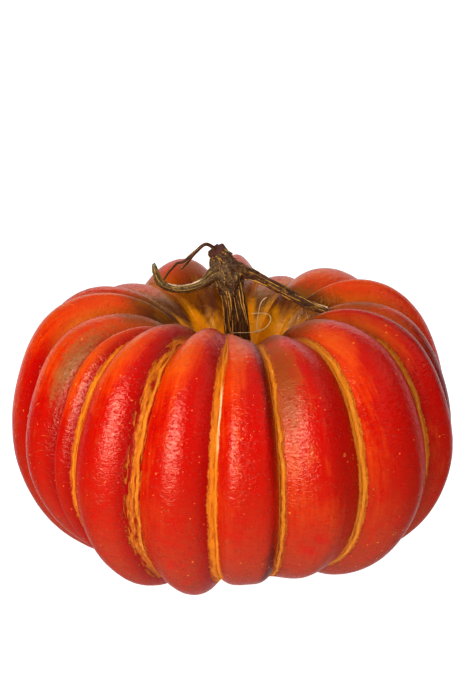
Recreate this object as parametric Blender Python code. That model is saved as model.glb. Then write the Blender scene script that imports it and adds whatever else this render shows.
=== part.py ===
"""A deep-ribbed red pumpkin on its flat-bottomed lobes, with its stalk, a cut length of vine and dried tendrils.

The fruit's axis is vertical. Azimuth 0 is the front, -Y, and grows towards +X.
"""

import math

import bmesh
import bpy
import numpy as np
from mathutils import Vector

MM = 0.001
GAP = 0.3 * MM  # between pieces that touch

# A seam's path, as radius and height: from the crown floor over the shoulder to the blossom end.
SEAM_PROFILE = (
    (0.017, 0.128),
    (0.030, 0.140),
    (0.050, 0.165),
    (0.090, 0.173),
    (0.115, 0.160),
    (0.130, 0.130),
    (0.140, 0.080),
    (0.115, 0.030),
    (0.070, 0.010),
    (0.035, 0.014),
    (0.006, 0.020),
)
FLATTENED = 0.0025  # the fruit has settled this far, so the lobes it lies on are flat underneath
CROWN_FLOOR = SEAM_PROFILE[0][1] - FLATTENED
LOBE_DEPTH = 0.0140  # how far a full lobe stands out from its seams
CROWN_RUN = 0.30  # part of the seam's path over which a lobe grows out of the crown
BASE_RUN = 0.22  # part over which it fades into the blossom end
BASE_FADE = 0.15  # what is left of it there
OVAL = 0.016  # the plan is this much wider across and narrower front to back
LOPSIDE = 0.020  # and its left side this much further out than its middle, its right side less
LEFT_RISE = 0.20  # height gained towards the left side, as a share per metre
FIRST_SEAM = -121.0

# Each lobe, round from the left: its width in degrees, the lean of the seam on its left in degrees,
# and how far it stands out at the crown, side and base, where 1 is a full lobe.
LOBES = (
    (22, 0, 0.8, 1.0, 1.0),
    (22, 0, 1.2, 1.0, 1.2),
    (19, 3, 0.8, 0.8, 0.2),
    (8, -5, 0.6, 0.6, 0.2),
    (21, -9, 1.0, 1.0, 1.0),
    (22, -8, 1.0, 1.0, 1.0),
    (18, -5, 0.4, 1.0, 0.4),
    (26, 0, 0.6, 1.0, 0.4),
    (28, 2, 1.0, 1.0, 1.0),
    (17, 4, 1.0, 1.0, 1.0),
    (17, 6, 0.8, 0.8, 1.0),
    (19, 0, 1.4, 1.4, 1.0),
    (31, 5, 1.3, 1.0, 1.0),
    (20, -5, 0.2, 1.0, 1.0),
    (21, 0, 1.5, 1.0, 1.0),
    (27, 5, 1.3, 1.0, 1.0),
    (22, 0, 0.2, 1.0, 1.0),
)
LOBE_COLUMNS = 6
FRUIT_ROWS = 24

# The stalk: its middle line, as height over the crown floor and shift to the right.
STALK_LINE = ((0.0, 2.4), (14.0, 2.2), (32.0, 1.4), (48.0, 0.4), (58.0, -1.4), (66.8, -3.4))
STALK_RADII = (11.5, 9.0, 8.2, 7.8, 7.4, 7.2)
STALK_RIBS = 5
STALK_RIB_DEPTH = 0.13

# Routes of the other stems, in millimetres: right, back and above the crown floor.
VINE_ROUTE = (
    (-11.6, 2.0, 87.2),
    (-10.0, 1.5, 83.2),
    (-6.8, 0.5, 77.8),
    (-2.0, 0.0, 74.6),
    (4.2, -0.5, 73.6),
    (12.0, -1.0, 71.2),
    (24.0, -2.6, 64.4),
    (38.0, -5.0, 56.8),
    (51.0, -8.0, 49.2),
    (61.0, -10.0, 46.8),
)
VINE_RADII = (4.4, 6.2, 8.2, 8.0, 4.8, 3.4, 3.1, 3.0, 2.9, 2.4)
VINE_RIBS = 5
VINE_RIB_DEPTH = 0.12
LEAF_STALK_ROUTE = (
    (-12.9, -2.4, 73.2),
    (-17.0, -3.6, 69.8),
    (-22.5, -4.8, 66.4),
    (-29.5, -6.0, 64.4),
    (-36.5, -6.5, 63.8),
    (-43.5, -6.5, 64.8),
    (-48.6, -6.0, 67.8),
    (-51.2, -5.5, 72.0),
    (-52.2, -5.0, 76.2),
    (-52.6, -5.0, 79.4),
)
LEAF_STALK_RADII = (3.8, 3.7, 3.4, 3.1, 3.0, 3.0, 2.8, 2.4, 2.0, 1.5)
LEAF_STALK_RIBS = 4
LEAF_STALK_RIB_DEPTH = 0.12
TENDRIL_ROUTE = (
    (-13.4, 0.9, 89.5),
    (-15.6, -0.4, 91.8),
    (-18.2, -1.6, 93.0),
    (-20.4, -2.4, 92.2),
    (-22.4, -3.0, 90.6),
    (-24.6, -3.6, 88.8),
    (-29.3, -4.6, 85.4),
    (-32.2, -5.4, 82.8),
    (-34.4, -5.8, 81.6),
    (-36.6, -6.0, 81.8),
    (-38.6, -6.2, 81.0),
    (-40.6, -6.4, 78.4),
    (-43.4, -6.8, 75.8),
    (-45.4, -7.6, 73.0),
    (-46.4, -9.0, 71.4),
)
TENDRIL_RADII = (1.2, 1.0, 0.7)
TENDRIL_FORK_ROUTE = (
    (-24.2, -3.6, 89.0),
    (-26.0, -5.0, 87.4),
    (-29.4, -7.0, 83.6),
    (-32.2, -8.6, 80.6),
    (-35.0, -10.0, 78.4),
)
TENDRIL_FORK_RADII = (0.7, 0.6, 0.4)
FIBRE_LOOP_ROUTE = (
    (-2.4, -10.6, 33.4),
    (3.0, -11.6, 33.6),
    (9.6, -11.2, 33.4),
    (13.4, -10.0, 33.4),
    (18.2, -8.6, 34.2),
    (22.2, -7.4, 37.0),
    (24.4, -6.6, 41.0),
    (22.6, -6.0, 44.4),
    (18.4, -5.8, 45.4),
    (13.8, -5.6, 45.2),
    (10.6, -5.0, 44.6),
)
FIBRE_STRAND_ROUTE = (
    (14.2, -4.0, 30.0),
    (14.4, -4.6, 39.2),
    (16.6, -5.0, 50.0),
    (18.2, -5.2, 54.0),
    (21.4, -5.4, 56.0),
)
FIBRE_RADII = (0.3, 0.35, 0.25)


def smooth(value):
    """A smooth step from 0 to 1."""
    value = min(max(value, 0.0), 1.0)
    return value * value * (3 - 2 * value)


def curve_points(points, count):
    """Points along the uniform cubic B-spline that these points control and that ends on the outer two."""
    points = np.array(points, float)
    ends = 2 * points[0] - points[1], 2 * points[-1] - points[-2]
    control = np.vstack([ends[0], points, ends[1]])
    spans = len(control) - 3
    place = np.linspace(0, spans, count)
    span = np.minimum(place.astype(int), spans - 1)
    f = (place - span)[:, None]
    weights = ((1 - f) ** 3, 3 * f**3 - 6 * f**2 + 4, -3 * f**3 + 3 * f**2 + 3 * f + 1, f**3)
    return sum(weight * control[span + i] for i, weight in enumerate(weights)) / 6


def material(name, colour, roughness):
    made = bpy.data.materials.new(name)
    made.use_nodes = True
    shader = made.node_tree.nodes["Principled BSDF"]
    shader.inputs["Base Color"].default_value = (*colour, 1)
    shader.inputs["Roughness"].default_value = roughness
    shader.inputs["Metallic"].default_value = 0.0
    made.diffuse_color = (*colour, 1)
    return made


def add_object(name, mesh_builder, finish, parent):
    """A smooth-shaded object from a bmesh, under the fruit's axis."""
    bmesh.ops.recalc_face_normals(mesh_builder, faces=mesh_builder.faces)
    mesh = bpy.data.meshes.new(name)
    mesh_builder.to_mesh(mesh)
    mesh_builder.free()
    mesh.shade_smooth()
    mesh.set_sharp_from_angle(angle=math.radians(50))
    mesh.materials.append(finish)
    made = bpy.data.objects.new(name, mesh)
    bpy.context.scene.collection.objects.link(made)
    made.parent = parent
    return made


def skin_rings(rings):
    """A closed tube over equal rings of points, with a flat cap at each end."""
    tube = bmesh.new()
    loops = [[tube.verts.new(point) for point in ring] for ring in rings]
    for low, high in zip(loops, loops[1:]):
        for i, vertex in enumerate(low):
            after = (i + 1) % len(low)
            tube.faces.new((vertex, low[after], high[after], high[i]))
    tube.faces.new(loops[0])
    tube.faces.new(loops[-1])
    return tube


def seam_azimuths():
    """Each seam's azimuth at the middle of its path, and once more round for the last lobe."""
    azimuths = [FIRST_SEAM]
    for width, *_ in LOBES:
        azimuths.append(azimuths[-1] + width)
    return azimuths


def lobe_height(lobe, along):
    """How far this lobe's crest stands out of its seams, along their path from 0 to 1."""
    _, _, crown, side, base = lobe
    grown = smooth(along / CROWN_RUN) * (BASE_FADE + (1 - BASE_FADE) * smooth((1 - along) / BASE_RUN))
    at_crown = 1 - smooth((along - 0.25) / 0.25)
    at_base = smooth((along - 0.55) / 0.25)
    at_side = 1 - at_crown - at_base
    return LOBE_DEPTH * grown * (crown * at_crown + side * at_side + base * at_base)


def fruit_ring(seam, outward, along):
    """One ring of the fruit's surface: each lobe bows out between its two seams."""
    azimuths = seam_azimuths()
    leans = [lobe[1] for lobe in LOBES] + [LOBES[0][1]]
    ring = []
    for i, lobe in enumerate(LOBES):
        left = azimuths[i] + leans[i] * (2 * along - 1)
        right = azimuths[i + 1] + leans[i + 1] * (2 * along - 1)
        for column in range(LOBE_COLUMNS):
            across = 2 * column / LOBE_COLUMNS - 1
            azimuth = math.radians(left + (right - left) * (across + 1) / 2)
            out = lobe_height(lobe, along) * (1 - across * across)
            plan = 1 - OVAL * math.cos(2 * azimuth) - LOPSIDE * math.sin(azimuth)
            radius = (seam[0] + outward[0] * out) * plan
            height = seam[1] + outward[1] * out
            x = radius * math.sin(azimuth)
            ring.append(Vector((x, -radius * math.cos(azimuth), height * (1 - LEFT_RISE * x))))
    return ring


def fruit_rings():
    profile = curve_points(SEAM_PROFILE, FRUIT_ROWS + 1)
    steps = np.gradient(profile, axis=0)
    outward = np.stack([-steps[:, 1], steps[:, 0]], axis=1)
    outward /= np.linalg.norm(outward, axis=1)[:, None]
    places = np.linspace(0, 1, FRUIT_ROWS + 1)
    rings = [fruit_ring(*of) for of in zip(profile, outward, places)]
    for ring in rings:
        for point in ring:
            point.z = max(point.z - FLATTENED, 0.0)
    for point in rings[0]:
        point.z = CROWN_FLOOR
    return rings


def add_fruit(finish):
    """The fruit, centred on its box, under an empty on its axis that carries the stems too."""
    rings = fruit_rings()
    points = [point for ring in rings for point in ring]
    middle = [(min(p[i] for p in points) + max(p[i] for p in points)) / 2 for i in (0, 1)]
    axis = bpy.data.objects.new("fruit_axis", None)
    axis.location = (-middle[0], -middle[1], 0)
    bpy.context.scene.collection.objects.link(axis)
    add_object("fruit", skin_rings(rings), finish, axis)
    return axis


def frames_along(points):
    """Two directions square to the route at each point, carried along it without twist."""
    steps = np.gradient(points, axis=0)
    steps /= np.linalg.norm(steps, axis=1)[:, None]
    side = np.cross(steps[0], (0.0, 1.0, 0.0))
    frames = []
    for step in steps:
        side = side - step * np.dot(side, step)
        side /= np.linalg.norm(side)
        frames.append((side, np.cross(step, side)))
    return frames


def stem_rings(route, radii, rows, sides, ribs=0, rib_depth=0.0):
    """Rings of a tapered stem along a route, in metres, with ribs that run its whole length."""
    points = curve_points(route, rows)
    places = np.linspace(0, 1, rows)
    widths = np.interp(places, np.linspace(0, 1, len(radii)), radii)
    rings = []
    for point, (side, up), width in zip(points, frames_along(points), widths):
        ring = []
        for i in range(sides):
            angle = 2 * math.pi * i / sides
            radius = width * (1 + rib_depth * math.cos(ribs * angle))
            ring.append(Vector(point + radius * (math.cos(angle) * side + math.sin(angle) * up)))
        rings.append(ring)
    return rings


def over_crown(route):
    """A route given in millimetres over the crown floor, in metres over the ground."""
    floor = np.array((0.0, 0.0, CROWN_FLOOR))
    return [floor + np.array(point) * MM for point in route]


def in_metres(radii):
    return [radius * MM for radius in radii]


def add_stalk(finish, axis):
    """The fruit's own stalk: five ribs, flared where it sits on the crown floor."""
    route = [(right, 0.0, max(up, GAP / MM)) for up, right in STALK_LINE]
    rings = stem_rings(
        over_crown(route), in_metres(STALK_RADII), 14, 4 * STALK_RIBS, STALK_RIBS, STALK_RIB_DEPTH
    )
    for point in rings[0]:
        point.z = CROWN_FLOOR + GAP
    return add_object("stalk", skin_rings(rings), finish, axis)


def add_vine(finish, axis):
    """The swollen joint at the top of the stalk, and the length of vine that runs to the right shoulder."""
    rings = stem_rings(
        over_crown(VINE_ROUTE), in_metres(VINE_RADII), 26, 4 * VINE_RIBS, VINE_RIBS, VINE_RIB_DEPTH
    )
    return add_object("vine", skin_rings(rings), finish, axis)


def add_leaf_stalk(finish, axis):
    rings = stem_rings(
        over_crown(LEAF_STALK_ROUTE),
        in_metres(LEAF_STALK_RADII),
        18,
        3 * LEAF_STALK_RIBS,
        LEAF_STALK_RIBS,
        LEAF_STALK_RIB_DEPTH,
    )
    return add_object("leaf_stalk", skin_rings(rings), finish, axis)


def add_thread(name, route, radii, rows, finish, axis):
    """A thin round strand."""
    rings = stem_rings(over_crown(route), in_metres(radii), rows, 6)
    return add_object(name, skin_rings(rings), finish, axis)


def add_tendril(finish, axis):
    """The tendril, with its shorter branch joined on."""
    tendril = add_thread("tendril", TENDRIL_ROUTE, TENDRIL_RADII, 32, finish, axis)
    branch = add_thread("tendril_branch", TENDRIL_FORK_ROUTE, TENDRIL_FORK_RADII, 10, finish, axis)
    branch.hide_render = True
    branch.display_type = "WIRE"
    join = tendril.modifiers.new("branch", "BOOLEAN")
    join.operation = "UNION"
    join.object = branch
    return tendril


def build():
    for old in list(bpy.data.objects):
        bpy.data.objects.remove(old, do_unlink=True)
    skin = material("skin", (0.70, 0.06, 0.01), 0.35)
    stalk_bark = material("stalk_bark", (0.22, 0.12, 0.04), 0.75)
    vine_bark = material("vine_bark", (0.26, 0.15, 0.05), 0.75)
    dry_green = material("dry_green", (0.33, 0.27, 0.10), 0.75)
    tendril_brown = material("tendril_brown", (0.25, 0.10, 0.03), 0.6)
    pale_fibre = material("pale_fibre", (0.75, 0.62, 0.42), 0.5)
    axis = add_fruit(skin)
    add_stalk(stalk_bark, axis)
    add_vine(vine_bark, axis)
    add_leaf_stalk(dry_green, axis)
    add_tendril(tendril_brown, axis)
    add_thread("fibre_loop", FIBRE_LOOP_ROUTE, FIBRE_RADII, 28, pale_fibre, axis)
    add_thread("fibre_strand", FIBRE_STRAND_ROUTE, FIBRE_RADII, 14, pale_fibre, axis)


build()
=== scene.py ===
import math
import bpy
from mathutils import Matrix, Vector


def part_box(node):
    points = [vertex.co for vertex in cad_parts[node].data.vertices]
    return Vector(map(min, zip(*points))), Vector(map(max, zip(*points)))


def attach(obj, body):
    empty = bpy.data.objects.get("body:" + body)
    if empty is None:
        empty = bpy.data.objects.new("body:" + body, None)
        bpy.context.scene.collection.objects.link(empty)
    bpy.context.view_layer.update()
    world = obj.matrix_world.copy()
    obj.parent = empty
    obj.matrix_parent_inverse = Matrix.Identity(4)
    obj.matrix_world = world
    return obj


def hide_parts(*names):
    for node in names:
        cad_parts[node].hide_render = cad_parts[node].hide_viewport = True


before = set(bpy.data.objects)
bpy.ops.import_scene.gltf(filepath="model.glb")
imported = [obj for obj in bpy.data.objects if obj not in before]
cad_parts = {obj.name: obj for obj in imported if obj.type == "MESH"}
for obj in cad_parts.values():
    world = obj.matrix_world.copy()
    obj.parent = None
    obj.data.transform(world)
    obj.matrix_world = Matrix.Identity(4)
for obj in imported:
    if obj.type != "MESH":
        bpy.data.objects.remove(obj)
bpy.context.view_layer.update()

from types import SimpleNamespace

import bpy
import numpy as np
from mathutils import Matrix, Vector, noise

mm = 0.001


class Wire:
    # one output in a tree of nodes: sums on wires and numbers add Math nodes
    def __init__(self, shade, socket):
        self.shade = shade
        self.socket = socket

    def maths(self, operation, first, second):
        return self.shade.node("ShaderNodeMath", {"operation": operation}, {0: first, 1: second})

    def __add__(self, other):
        return self.maths("ADD", self, other)

    def __radd__(self, other):
        return self.maths("ADD", other, self)

    def __sub__(self, other):
        return self.maths("SUBTRACT", self, other)

    def __rsub__(self, other):
        return self.maths("SUBTRACT", other, self)

    def __mul__(self, other):
        return self.maths("MULTIPLY", self, other)

    def __rmul__(self, other):
        return self.maths("MULTIPLY", other, self)

    def __truediv__(self, other):
        return self.maths("DIVIDE", self, other)

    def __rtruediv__(self, other):
        return self.maths("DIVIDE", other, self)

    def __abs__(self):
        return self.maths("ABSOLUTE", self, 0.0)

    def most(self, other):
        return self.maths("MAXIMUM", self, other)


class Shade:
    # the nodes of a material or of the world
    def __init__(self, owner):
        owner.use_nodes = True
        self.owner = owner
        self.tree = owner.node_tree

    def feed(self, socket, value):
        if isinstance(value, Wire):
            self.tree.links.new(value.socket, socket)
        elif socket.type == "RGBA":
            socket.default_value = (*value[:3], 1.0)
        else:
            socket.default_value = value

    def node(self, kind, settings=None, values=None, output=0):
        made = self.tree.nodes.new(kind)
        for name, value in (settings or {}).items():
            setattr(made, name, value)
        for name, value in (values or {}).items():
            self.feed(made.inputs[name], value)
        return Wire(self, made.outputs[output])

    def attribute(self, name, output="Fac"):
        return self.node("ShaderNodeAttribute", {"attribute_name": name}, output=output)

    def parts(self, vector):
        split = self.tree.nodes.new("ShaderNodeSeparateXYZ")
        self.feed(split.inputs[0], vector)
        return [Wire(self, socket) for socket in split.outputs]

    def vector(self, x=0.0, y=0.0, z=0.0):
        return self.node("ShaderNodeCombineXYZ", values={0: x, 1: y, 2: z})

    def stretch(self, vector, factors):
        return self.node("ShaderNodeVectorMath", {"operation": "MULTIPLY"}, {0: vector, 1: factors})

    def place(self):
        # where a point is on the piece, in millimetres
        spot = self.node("ShaderNodeTexCoord", output="Object")
        return self.stretch(spot, (1000.0, 1000.0, 1000.0))

    def noise(self, vector, size, detail=2.0, rough=0.5, twist=0.0):
        # soft noise from 0 to 1, with features about size across
        values = {
            "Vector": vector,
            "Scale": 1 / size,
            "Detail": detail,
            "Roughness": rough,
            "Distortion": twist,
        }
        return self.node("ShaderNodeTexNoise", {}, values)

    def cells(self, vector, size):
        # how far a point is from the middle of its cell, and three numbers that the whole cell shares
        middle = self.node("ShaderNodeTexVoronoi", {}, {"Vector": vector, "Scale": 1 / size}, "Distance")
        return middle, self.parts(Wire(self, middle.socket.node.outputs["Color"]))

    def step(self, value, low, high):
        # a smooth step from 0 at low to 1 at high
        values = {0: value, 1: low, 2: high}
        return self.node("ShaderNodeMapRange", {"interpolation_type": "SMOOTHSTEP"}, values)

    def mix(self, first, second, factor):
        # from the first colour to the second
        return self.node("ShaderNodeMix", {"data_type": "RGBA"}, {0: factor, 6: first, 7: second}, 2)

    def tint(self, colour, by, factor):
        settings = {"data_type": "RGBA", "blend_type": "MULTIPLY"}
        return self.node("ShaderNodeMix", settings, {0: factor, 6: colour, 7: by}, 2)

    def finish(self, colour, rough, height=None, depth=0.0, **fixed):
        surface = self.tree.nodes["Principled BSDF"].inputs
        self.feed(surface["Base Color"], colour)
        self.feed(surface["Roughness"], rough)
        for name, value in fixed.items():
            surface[name].default_value = value
        if height is not None:
            normal = self.node("ShaderNodeBump", {}, {"Strength": 1.0, "Distance": depth, "Height": height})
            self.feed(surface["Normal"], normal)
        return self.owner


# helpers on arrays of numbers


def smooth(value):
    value = np.clip(value, 0.0, 1.0)
    return value * value * (3 - 2 * value)


def ramp(value, start, run):
    # a smooth step from 0 at start to 1 at a run further on, or further back where the run is negative
    return smooth((value - start) / run)


def curveAt(points, places):
    # the uniform cubic B-spline through the outer two of these points, at places from 0 to 1
    points = np.array(points, float)
    control = np.vstack([2 * points[0] - points[1], points, 2 * points[-1] - points[-2]])
    spans = len(control) - 3
    place = np.asarray(places) * spans
    span = np.minimum(place.astype(int), spans - 1)
    f = (place - span)[:, None]
    weights = ((1 - f) ** 3, 3 * f**3 - 6 * f**2 + 4, -3 * f**3 + 3 * f**2 + 3 * f + 1, f**3)
    return sum(weight * control[span + i] for i, weight in enumerate(weights)) / 6


def runsOf(points):
    steps = np.linalg.norm(np.diff(points, axis=0), axis=1)
    return np.concatenate([[0.0], np.cumsum(steps)])


def lumps(points, size, octaves=2, shift=0.0):
    # soft noise from about -1 to 1 at each point, with features about size across
    flat = np.asarray(points, float).reshape(-1, 3) / size + shift
    made = [noise.fractal(Vector(point), 0.8, 2.0, octaves) for point in flat]
    return np.array(made).reshape(np.shape(points)[:-1])


def ringFaces(rows, columns, start, outsideIn=False):
    # quads between rings of points, each ring closed on itself
    r, c = np.meshgrid(np.arange(rows - 1), np.arange(columns), indexing="ij")
    after = (c + 1) % columns
    low, lowAfter = r * columns + c, r * columns + after
    quads = [low, lowAfter, lowAfter + columns, low + columns]
    if outsideIn:
        quads = [low, low + columns, lowAfter + columns, lowAfter]
    return np.stack(quads, axis=-1).reshape(-1, 4) + start


def makePiece(name, grids, finish):
    # one mesh from grids of rings, each capped at both ends; a grid is its points and its named values
    points, faces, start = [], [], 0
    values = {key: [] for key in grids[0]["values"]}
    for grid in grids:
        rows, columns = grid["points"].shape[:2]
        outsideIn = grid.get("outsideIn", False)
        faces += ringFaces(rows, columns, start, outsideIn).tolist()
        ends = grid["points"][0].mean(axis=0), grid["points"][-1].mean(axis=0)
        points += [grid["points"].reshape(-1, 3), np.array(ends)]
        first = start + rows * columns
        for ring, middle, turned in ((0, first, outsideIn), (rows - 1, first + 1, not outsideIn)):
            for c in range(columns):
                pair = [start + ring * columns + c, start + ring * columns + (c + 1) % columns]
                faces.append([middle, *(pair if turned else pair[::-1])])
        for key, given in grid["values"].items():
            flat = given.reshape(rows * columns, -1)
            capped = [given[end].reshape(columns, -1).mean(axis=0) for end in (0, -1)]
            values[key].append(np.vstack([flat, capped]))
        start = first + 2
    mesh = bpy.data.meshes.new(name)
    mesh.from_pydata(np.vstack(points).tolist(), [], faces)
    for key, given in values.items():
        given = np.vstack(given)
        kind, field = ("FLOAT_VECTOR", "vector") if given.shape[1] == 3 else ("FLOAT", "value")
        layer = mesh.attributes.new(key, kind, "POINT")
        layer.data.foreach_set(field, given.astype(np.float32).ravel())
    mesh.shade_smooth()
    mesh.materials.append(finish)
    made = bpy.data.objects.new(name, mesh)
    bpy.context.scene.collection.objects.link(made)
    return made


def standsFor(piece, slot, *nodes):
    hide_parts(*nodes)
    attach(piece, "root")


# the fruit's body: the CAD fruit's lobes and seams, but for the turned seams, square lobes and bridge
fruit = {
    "seamProfile": (  # radius and height in metres, from the crown floor to the blossom end
        (0.017, 0.128),
        (0.030, 0.140),
        (0.050, 0.165),
        (0.090, 0.173),
        (0.115, 0.160),
        (0.130, 0.130),
        (0.140, 0.080),
        (0.115, 0.030),
        (0.070, 0.010),
        (0.035, 0.014),
        (0.006, 0.020),
    ),
    "lobes": (  # width, lean of the left seam, then how full at the crown, side and base
        (22, 0, 0.8, 1.0, 1.0),
        (22, 0, 1.2, 1.0, 1.2),
        (19, 3, 0.8, 0.8, 0.2),
        (8, -5, 0.6, 0.6, 0.2),
        (21, -9, 1.0, 1.0, 1.0),
        (22, -8, 1.0, 1.0, 1.0),
        (18, -5, 0.4, 1.0, 0.4),
        (26, 0, 0.6, 1.0, 0.4),
        (28, 2, 1.0, 1.0, 1.0),
        (17, 4, 1.0, 1.0, 1.0),
        (17, 6, 0.8, 0.8, 1.0),
        (19, 0, 1.4, 1.4, 1.0),
        (31, 5, 1.3, 1.0, 1.0),
        (20, -5, 0.2, 1.0, 1.0),
        (21, 0, 1.5, 1.0, 1.0),
        (27, 5, 1.3, 1.0, 1.0),
        (22, 0, 0.2, 1.0, 1.0),
    ),
    "firstSeam": -121.0,  # degrees round from the front, more to the right
    # how many degrees a seam turns from the CAD's at mid height, and where along it the turn comes and goes
    "seamTurns": {3: 1.0, 4: 2.0, 5: 1.5, 6: 0.8, 7: -0.4, 8: -2.4, 9: -2.0, 10: -0.8},
    "turnComes": (0.15, 0.15),
    "turnGoes": (0.90, -0.25),
    "flattened": 2.5 * mm,
    "lobeDepth": 14 * mm,
    # along a seam: where a lobe's fullness starts to change to the side's and to the base's
    "sideFrom": 0.25,
    "baseFrom": 0.55,
    "changeRun": 0.25,
    "crownRun": 0.30,
    "baseRun": 0.22,
    "baseFade": 0.15,
    "oval": 0.016,
    "lopside": 0.020,
    "leftRise": 0.20,
    "rows": 204,
    "halfLobeColumns": (4, 0.4),  # at least, and more for each degree of its width
    "usualSquare": 2.0,
    "squareLobes": {6: 4.2, 7: 1.5},  # more is a flatter face with steeper flanks, less is a sharper crest
    "bridged": {  # two lobes run together here, on both sides of this seam
        "seam": 6,
        "along": 0.250,
        "reach": 0.060,
        "width": 11.0,
        "rise": 10.0 * mm,
        "thinsCork": 0.65,
    },
    "swell": 0.5 * mm,  # slow unevenness of the lobes
    "swellSize": 60 * mm,
    "swellClear": 12,  # millimetres from a seam to where it is at its full
    "dimple": 0.10 * mm,
    "dimpleSize": 7 * mm,
    "floorRings": (0.25, 0.5, 0.75),
    # the blossom end's rings: the share of its width and the rise in mm
    "button": ((0.8, 0.4), (0.6, -0.5), (0.4, -0.9), (0.2, -0.6)),
    "buttonTilt": 0.2,
}

# how the cork stands in a seam: it comes and goes at a place along the seam, over a run
corkShape = {
    "rise": 0.42 * mm,
    "bed": 0.42,  # the depth that it fills, over its half width
    "comes": (0.10, 0.20),
    "goes": (1.0, -0.12),
    "thinnest": 0.45,
    "edge": 1.35,
    "ragged": 0.35,
    "raggedAcross": 0.6,
    "raggedAlong": 0.16,
}

# each seam's cork, round from the left: half width in mm, how braided and how bright it is
seamCork = (
    (2.4, 0.2, 0.6),
    (2.2, 0.2, 0.6),
    (2.2, 0.2, 0.6),
    (2.0, 0.2, 0.7),
    (3.5, 0.4, 1.15),
    (7.4, 1.0, 0.65),
    (5.4, 0.5, 1.7),
    (4.2, 0.6, 0.9),
    (4.1, 0.2, 1.15),
    (4.0, 0.2, 1.1),
    (2.0, 0.2, 0.7),
    (2.2, 0.4, 0.6),
    (2.8, 0.6, 0.6),
    (3.2, 0.8, 0.8),
    (2.6, 0.4, 0.7),
    (4.0, 0.9, 0.9),
    (3.0, 0.5, 0.7),
)

# soft patches of other colours: lobe, across it from -1 to 1, along it, size across and along in mm
patches = {
    "tan": ((2, 0.68, 0.41, 9, 30), (12, 0.3, 0.42, 14, 30)),
    "olive": (
        (7, -0.68, 0.39, 12, 44),
        (7, -0.4, 0.26, 16, 13),
        (1, 0.2, 0.23, 9, 11),
        (2, 0.2, 0.26, 9, 13),
        (4, -0.3, 0.26, 10, 16),
        (8, -0.3, 0.25, 15, 14),
        (10, 0.0, 0.29, 10, 16),
        (15, 0.2, 0.27, 12, 13),
    ),
    # the maroon patches are partly the rind's own darker colour and partly painted shade, most of all on
    # the right sides of lobes 6 and 8
    "maroon": (
        (6, 0.80, 0.42, 6, 60),
        (6, 0.75, 0.70, 6, 50),
        (8, 0.85, 0.42, 13, 60),
        (9, 0.5, 0.45, 15, 60),
        (10, -0.3, 0.50, 9, 50),
        (11, -0.6, 0.62, 9, 50),
    ),
    # the red patches on the right halves of lobes 4 to 7 are partly the rind's own colour and partly
    # painted shade
    "red": (
        (4, 0.6, 0.45, 9, 60),
        (5, 0.6, 0.45, 9, 60),
        (6, 0.55, 0.50, 10, 70),
        (7, 0.5, 0.45, 13, 60),
        (8, 0.1, 0.45, 18, 70),
        (9, 0.1, 0.42, 16, 60),
    ),
    "orange": (
        (5, 0.3, 0.80, 12, 13),
        (0, 0.0, 0.45, 22, 50),
        (1, 0.1, 0.45, 22, 50),
        (8, -0.60, 0.33, 7, 18),
        (6, -0.3, 0.33, 7, 24),
        (2, 0.1, 0.44, 16, 34),
        (3, 0.0, 0.42, 8, 34),
        (4, -0.3, 0.38, 12, 22),
        (5, -0.2, 0.35, 12, 26),
        (7, 0.2, 0.62, 12, 40),
        (11, 0.3, 0.30, 10, 22),
        (12, 0.3, 0.27, 20, 20),
        (15, 0.1, 0.55, 16, 24),
    ),
}


def seamRows():
    # places along the seams' path at even distances, with the path's points, outward directions and runs
    fine = np.linspace(0, 1, 2001)
    runs = runsOf(curveAt(fruit["seamProfile"], fine))
    along = np.interp(np.linspace(0, runs[-1], fruit["rows"]), runs, fine)
    path = curveAt(fruit["seamProfile"], along)
    steps = np.gradient(path, axis=0)
    outward = np.stack([-steps[:, 1], steps[:, 0]], axis=1)
    outward /= np.linalg.norm(outward, axis=1)[:, None]
    return along, path, outward, runsOf(path) / mm


def lobeColumns():
    # each column's lobe and place across it, closer together near the seams
    found = []
    least, perDegree = fruit["halfLobeColumns"]
    for lobe, (width, *_) in enumerate(fruit["lobes"]):
        count = 2 * round(least + perDegree * width)
        for i in range(count):
            even = 2 * i / count - 1
            found.append((lobe, 0.5 * even + 0.5 * math.sin(even * math.pi / 2)))
    return np.array([lobe for lobe, _ in found]), np.array([across for _, across in found])


def lobeAzimuths(along, lobe, across):
    # degrees round from the front, for every row and column
    table = np.array(fruit["lobes"], float)
    seams = fruit["firstSeam"] + np.concatenate([[0.0], np.cumsum(table[:, 0])])
    leans = np.append(table[:, 1], table[0, 1])
    turns = np.array([fruit["seamTurns"].get(number, 0.0) for number in range(len(seams))])
    tilt = (2 * along - 1)[:, None]
    turned = (ramp(along, *fruit["turnComes"]) * ramp(along, *fruit["turnGoes"]))[:, None]
    left, right = (seams[edge] + leans[edge] * tilt + turns[edge] * turned for edge in (lobe, lobe + 1))
    return left + (right - left) * (across + 1) / 2


def lobeHeights(along, lobe):
    # how far a lobe's crest stands out from its seams
    table = np.array(fruit["lobes"], float)
    crown, side, base = (table[lobe, i][None, :] for i in (2, 3, 4))
    up = along[:, None]
    fade = fruit["baseFade"] + (1 - fruit["baseFade"]) * ramp(up, 1, -fruit["baseRun"])
    atCrown = 1 - ramp(up, fruit["sideFrom"], fruit["changeRun"])
    atBase = ramp(up, fruit["baseFrom"], fruit["changeRun"])
    full = crown * atCrown + side * (1 - atCrown - atBase) + base * atBase
    return fruit["lobeDepth"] * smooth(up / fruit["crownRun"]) * fade * full


def fruitPoints(seamPath, outward, azimuth, out):
    # the surface where it stands out from its seams by this much, for every row and column
    turn = np.radians(azimuth)
    plan = 1 - fruit["oval"] * np.cos(2 * turn) - fruit["lopside"] * np.sin(turn)
    seamRadius, seamHeight = seamPath[:, None, 0], seamPath[:, None, 1]
    radius = (seamRadius + outward[:, None, 0] * out) * plan
    x = radius * np.sin(turn)
    z = (seamHeight + outward[:, None, 1] * out) * (1 - fruit["leftRise"] * x) - fruit["flattened"]
    return np.stack([x, -radius * np.cos(turn), np.maximum(z, 0.0)], axis=-1)


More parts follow.
